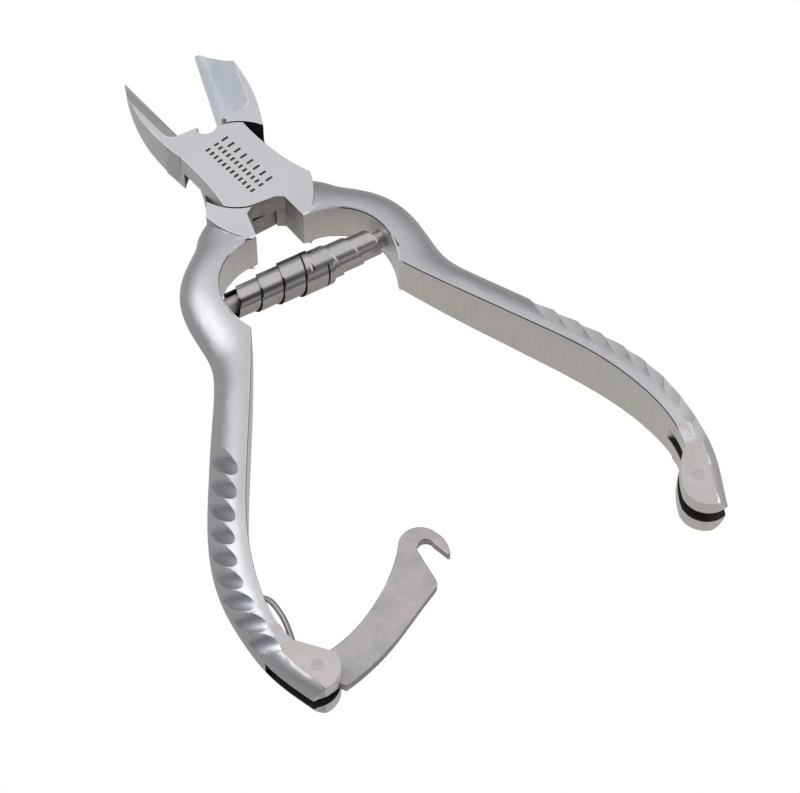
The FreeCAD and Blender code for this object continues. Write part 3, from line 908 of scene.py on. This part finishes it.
@dataclass
class TurnedPin:
    """A turned steel pin that stands for a packed one.

    Attributes:
        node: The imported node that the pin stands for.
        body: The body it rides on.
        chamfer: Size of the chamfers at both ends.
        finish: Finish of the pin.
        steps: Number of flats round it.
    """

    node: str
    body: str
    chamfer: float
    finish: SteelFinish = PIN
    steps: int = 64

    def build(self) -> bpy.types.Object:
        """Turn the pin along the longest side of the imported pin's box.

        Returns:
            The finished piece.
        """
        low, high = (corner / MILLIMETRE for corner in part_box(self.node))
        size = high - low
        lengthwise = max(range(3), key=lambda axis: size[axis])
        radius = size[(lengthwise + 1) % 3] / 2
        mesh = turned(radius, size[lengthwise], self.steps, self.chamfer)
        foot = (low + high) / 2
        foot[lengthwise] = low[lengthwise]
        if lengthwise == 0:
            bmesh.ops.rotate(mesh, verts=mesh.verts, matrix=Matrix.Rotation(math.pi / 2, 3, "Y"))
        bmesh.ops.translate(mesh, vec=foot, verts=mesh.verts)
        piece = new_piece(mesh, f"turned_{self.node}", (self.finish,))
        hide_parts(self.node)
        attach(piece, self.body)
        LOG.info("%s: %d faces", piece.name, len(piece.data.polygons))
        return piece


# --------------------------------------------------------------------------
# Latch and its spring
# --------------------------------------------------------------------------

@dataclass
class Latch:
    """The blanked and tumbled latch, and the wire that presses on its heel.

    Attributes:
        edge_round: Rounding that tumbling gives the latch's edges.
        merge: Distance within which points of the outline are merged before the rounding.
        wire_r: Radius of the wire.
        route: The wire's route in plan, from its socket in the handle to the heel.
    """

    edge_round: float = 0.22
    merge: float = 0.06
    wire_r: float = 0.42
    route: tuple[tuple[float, float], ...] = (
        (-33.4, -66.3), (-30.7, -66.1), (-30.0, -70.3), (-30.75, -74.6), (-31.6, -78.0))

    def build(self) -> None:
        """Build the latch and the wire."""
        self.build_latch()
        self.build_wire()

    def build_latch(self) -> None:
        """Round the edges of the blanked latch as tumbling does."""
        mesh = node_copy("latch_hook")
        bmesh.ops.remove_doubles(mesh, verts=mesh.verts, dist=self.merge)
        sharp = [e for e in mesh.edges if e.is_manifold and self._is_outline(e)]
        chamfer_edges(mesh, sharp, self.edge_round, 3)
        piece = new_piece(mesh, "tumbled_latch_plate", (LATCH,), smooth=40.0)
        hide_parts("latch_hook")
        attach(piece, "latch")
        LOG.info("%s: %d faces", piece.name, len(piece.data.polygons))

    @staticmethod
    def _is_outline(edge: BMEdge) -> bool:
        """Tell whether an edge is between a face of the plate and its rim.

        Args:
            edge: An edge of the latch with two faces.

        Returns:
            True if just one of the two faces is level.
        """
        flats = [abs(f.normal.z) > NEARLY_LEVEL for f in edge.link_faces]
        return flats[0] != flats[1]

    def build_wire(self) -> None:
        """Bend the wire along its route."""
        curve = bpy.data.curves.new("latch_spring_wire", "CURVE")
        curve.dimensions = "3D"
        spline = curve.splines.new("NURBS")
        spline.points.add(len(self.route) - 1)
        for point, (x, y) in zip(spline.points, self.route):
            point.co = (*(Vector((x, y, MID_Z)) * MILLIMETRE), 1.0)
        spline.order_u = 3
        spline.use_endpoint_u = True
        spline.resolution_u = 16
        curve.bevel_depth = self.wire_r * MILLIMETRE
        curve.bevel_resolution = 8
        curve.use_fill_caps = True
        shaper = bpy.data.objects.new("wire_shaper", curve)
        data = bpy.data.meshes.new_from_object(shaper)
        bpy.data.objects.remove(shaper)
        data.materials.append(WIRE.material())
        data.shade_smooth()
        data.set_sharp_from_angle(angle=math.radians(50))
        piece = bpy.data.objects.new("latch_spring_wire", data)
        bpy.context.scene.collection.objects.link(piece)
        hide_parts("latch_spring")
        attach(piece, "latch_lever")
        LOG.info("%s: %d faces", piece.name, len(data.polygons))


@dataclass
class EtchedMark:
    """A plain grading mark of short bars, etched in rows on the upper plate.

    Attributes:
        origin: Middle of the first bar in the first row.
        heading: Direction of the rows in plan, in degrees from +X.
        row_step: Distance from one row to the next.
        rows: Number, spacing and height of the bars in each row.
        proud: Thickness of a bar, half of it above the plate.
        bar_width: Width of a bar.
    """

    origin: tuple[float, float] = (0.5, 5.4)
    heading: float = -77.7
    row_step: float = 1.65
    rows: tuple[tuple[int, float, float], ...] = ((8, 1.5, 1.25), (12, 0.96, 0.85), (12, 0.96, 0.85))
    proud: float = 0.008
    bar_width: float = 0.42

    def build(self) -> None:
        """Lay the bars on the plate."""
        mesh = bmesh.new()
        turn = Matrix.Rotation(math.radians(self.heading), 3, "Z")
        for row, (count, pitch, height) in enumerate(self.rows):
            for index in range(count):
                made = bmesh.ops.create_cube(mesh, size=1.0)
                bmesh.ops.scale(mesh, vec=Vector((self.bar_width, height, self.proud)),
                                verts=made["verts"])
                bmesh.ops.translate(mesh, vec=(index * pitch, -row * self.row_step, 0),
                                    verts=made["verts"])
        bmesh.ops.rotate(mesh, verts=mesh.verts, matrix=turn)
        bmesh.ops.translate(mesh, vec=(*self.origin, JOINT_TOP), verts=mesh.verts)
        piece = new_piece(mesh, "etched_grading_mark", (ETCH,))
        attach(piece, "catch_lever")
        LOG.info("%s: %d faces", piece.name, len(piece.data.polygons))


# --------------------------------------------------------------------------
# Studio
# --------------------------------------------------------------------------

@dataclass(frozen=True)
class Softbox:
    """A round soft light.

    Attributes:
        name: Name of the light.
        place: Where it hangs, in metres.
        size: Its diameter in metres.
        power: Its power in watts.
    """

    name: str
    place: tuple[float, float, float]
    size: float
    power: float


@dataclass
class Studio:
    """Camera, pale floor and soft light.

    Attributes:
        azimuth: Angle of the camera about Z, in degrees from -Y.
        elevation: Angle of the camera above the floor, in degrees.
        roll: Turn of the camera about its own axis, in degrees.
        lens: Focal length in millimetres.
        sensor: Width of the sensor in millimetres.
        distance: Distance from the camera to its target, in metres.
        target: The point that the camera looks at, in metres.
        floor_drop: Gap between the nipper and the floor, in metres.
        floor_size: Half the floor's width, in metres.
        paper: Colour of the floor as the steel mirrors it.
        softboxes: One light behind on the left and one on the right.
        room: Brightness of the room at heights from the floor to the ceiling.
        stand: Colour of the dark stand in front of the handles.
        stand_towards: Direction of the stand's middle.
        stand_edge: Cosines of the angles at which the stand ends and is fully dark.
    """

    azimuth: float = -30.45
    elevation: float = 56.3
    roll: float = 0.93
    lens: float = 108.8
    sensor: float = 36.0
    distance: float = 0.3544
    target: tuple[float, float, float] = (0.00290, -0.044936, 0.0)
    floor_drop: float = 0.03
    floor_size: float = 3.0
    paper: Colour = (0.60, 0.585, 0.56)
    softboxes: tuple[Softbox, ...] = (
        Softbox("key_softbox", place=(-0.35, 0.25, 0.55), size=0.6, power=1.6),
        Softbox("fill_softbox", place=(0.55, -0.15, 0.35), size=0.35, power=1.2),
    )
    room: tuple[tuple[float, Colour], ...] = (
        (0.0, (0.20, 0.20, 0.21)),
        (0.25, (0.28, 0.28, 0.29)),
        (0.5, (0.60, 0.60, 0.615)),
        (0.72, (0.98, 0.98, 1.0)),
        (1.0, (1.0, 1.0, 1.0)),
    )
    stand: Colour = (0.025, 0.025, 0.03)
    stand_towards: tuple[float, float, float] = (-0.30, -0.60, 0.74)
    stand_edge: tuple[float, float] = (0.72, 0.87)

    def build(self) -> None:
        """Set up the camera, the floor, the lights and the world."""
        self.build_camera()
        self.build_floor()
        self.build_lights()
        self.build_world()
        view = bpy.context.scene.view_settings
        view.view_transform = "Standard"
        view.look = "None"

    def build_camera(self) -> None:
        """Place the camera above the handles, looking along the nipper."""
        turn, lift, roll = (math.radians(a) for a in (self.azimuth, self.elevation, self.roll))
        back = Vector((math.sin(turn) * math.cos(lift), -math.cos(turn) * math.cos(lift), math.sin(lift)))
        right = Vector((0, 0, 1)).cross(back).normalized()
        up = back.cross(right)
        right, up = (math.cos(roll) * right + math.sin(roll) * up,
                     -math.sin(roll) * right + math.cos(roll) * up)
        camera = bpy.data.cameras.new("studio_camera")
        camera.lens = self.lens
        camera.sensor_width = self.sensor
        camera.clip_start = 0.01
        holder = bpy.data.objects.new("studio_camera", camera)
        bpy.context.scene.collection.objects.link(holder)
        place = Matrix((right, up, back)).transposed().to_4x4()
        place.translation = Vector(self.target) + back * self.distance
        holder.matrix_world = place
        bpy.context.scene.camera = holder

    def build_floor(self) -> None:
        """Lay a pale floor that the camera sees as white paper."""
        mesh = bmesh.new()
        bmesh.ops.create_grid(mesh, x_segments=8, y_segments=8, size=self.floor_size)
        bmesh.ops.translate(mesh, vec=(0, 0, CAD_BOUNDS[0].z - self.floor_drop), verts=mesh.verts)
        data = bpy.data.meshes.new("pale_floor")
        mesh.to_mesh(data)
        mesh.free()
        floor = bpy.data.objects.new("pale_floor", data)
        bpy.context.scene.collection.objects.link(floor)
        paper = bpy.data.materials.new("floor_paper")
        paper.use_nodes = True
        nodes, links = paper.node_tree.nodes, paper.node_tree.links
        shader = nodes["Principled BSDF"]
        shader.inputs["Base Color"].default_value = (*self.paper, 1)
        shader.inputs["Roughness"].default_value = 0.9
        glow = nodes.new("ShaderNodeEmission")
        glow.inputs["Color"].default_value = (1, 1, 1, 1)
        mix = nodes.new("ShaderNodeMixShader")
        links.new(nodes.new("ShaderNodeLightPath").outputs["Is Camera Ray"], mix.inputs["Fac"])
        links.new(shader.outputs["BSDF"], mix.inputs[1])
        links.new(glow.outputs["Emission"], mix.inputs[2])
        links.new(mix.outputs["Shader"], nodes["Material Output"].inputs["Surface"])
        data.materials.append(paper)

    def build_lights(self) -> None:
        """Hang the softboxes, aimed at the camera's target."""
        for box in self.softboxes:
            light = bpy.data.lights.new(box.name, "AREA")
            light.shape = "DISK"
            light.size = box.size
            light.energy = box.power
            holder = bpy.data.objects.new(box.name, light)
            holder.location = box.place
            aim = Vector(self.target) - Vector(box.place)
            holder.rotation_euler = aim.to_track_quat("-Z", "Y").to_euler()
            bpy.context.scene.collection.objects.link(holder)

    def build_world(self) -> None:
        """Surround the nipper with a bright ceiling over dimmer walls."""
        world = bpy.data.worlds.new("studio_room")
        bpy.context.scene.world = world
        world.use_nodes = True
        nodes, links = world.node_tree.nodes, world.node_tree.links
        background = nodes["Background"]
        direction = nodes.new("ShaderNodeTexCoord").outputs["Generated"]
        height = nodes.new("ShaderNodeSeparateXYZ")
        links.new(direction, height.inputs["Vector"])
        room = nodes.new("ShaderNodeValToRGB")
        links.new(height.outputs["Z"], room.inputs["Fac"])
        stops = room.color_ramp.elements
        for stop, (share, grey) in zip(stops, (self.room[0], self.room[-1])):
            stop.position, stop.color = share, (*grey, 1)
        for share, grey in self.room[1:-1]:
            stops.new(share).color = (*grey, 1)
        shade = self._stand_shade(nodes, links, direction)
        inside = self._blend(world.node_tree, shade, room.outputs["Color"], self.stand)
        camera_ray = nodes.new("ShaderNodeLightPath").outputs["Is Camera Ray"]
        links.new(self._blend(world.node_tree, camera_ray, inside, (1, 1, 1)), background.inputs["Color"])

    @staticmethod
    def _blend(tree: bpy.types.NodeTree, mask: bpy.types.NodeSocket, under: bpy.types.NodeSocket,
               over: Colour) -> bpy.types.NodeSocket:
        """Lay a plain colour over another by a mask.

        Args:
            tree: The world's node tree.
            mask: Socket with the mask.
            under: Socket with the colour where the mask is 0.
            over: Colour where the mask is 1.

        Returns:
            The socket with the blended colour.
        """
        mix = tree.nodes.new("ShaderNodeMix")
        mix.data_type = "RGBA"
        tree.links.new(mask, mix.inputs["Factor"])
        colours = [s for s in mix.inputs if s.type == "RGBA"]
        tree.links.new(under, colours[0])
        colours[1].default_value = (*over, 1)
        return next(s for s in mix.outputs if s.type == "RGBA")

    def _stand_shade(self, nodes: bpy.types.Nodes, links: bpy.types.NodeLinks,
                     direction: bpy.types.NodeSocket) -> bpy.types.NodeSocket:
        """Return a mask of the dark stand in front of the handles.

        Args:
            nodes: Nodes of the world.
            links: Links of the world.
            direction: Socket with the direction looked in.

        Returns:
            The socket with the mask.
        """
        dot = nodes.new("ShaderNodeVectorMath")
        dot.operation = "DOT_PRODUCT"
        dot.inputs[1].default_value = self.stand_towards
        links.new(direction, dot.inputs[0])
        mask = nodes.new("ShaderNodeMapRange")
        mask.interpolation_type = "SMOOTHSTEP"
        mask.inputs["From Min"].default_value, mask.inputs["From Max"].default_value = self.stand_edge
        links.new(dot.outputs["Value"], mask.inputs["Value"])
        return mask.outputs["Result"]


def main() -> None:
    """Build every piece of the nipper and its studio."""
    logging.basicConfig(level=logging.INFO, format="%(name)s %(message)s")
    for build in (build_brush, build_cloud, build_specks, build_wear_and_highlight):
        build()
    Lever("catch_lever", "catch_lever", side=1, hollow=HOLLOW_SHADED_COPY, flute=FLUTE_LIT_COPY).build()
    Lever("latch_lever", "latch_lever", side=-1, hollow=HOLLOW_LIT_COPY, flute=FLUTE_SHADED_COPY).build()
    BarrelSpring().build()
    TurnedPin("catch_pin", "catch_lever", chamfer=0.012).build()
    TurnedPin("latch_pin", "latch_lever", chamfer=0.012).build()
    TurnedPin("joint_rivet", "latch_lever", chamfer=0.05).build()
    TurnedPin("catch_side_peg", "catch_lever", chamfer=0.4).build()
    TurnedPin("latch_side_peg", "latch_lever", chamfer=0.4).build()
    Latch().build()
    EtchedMark().build()
    Studio().build()


if __name__ == "__main__":
    main()
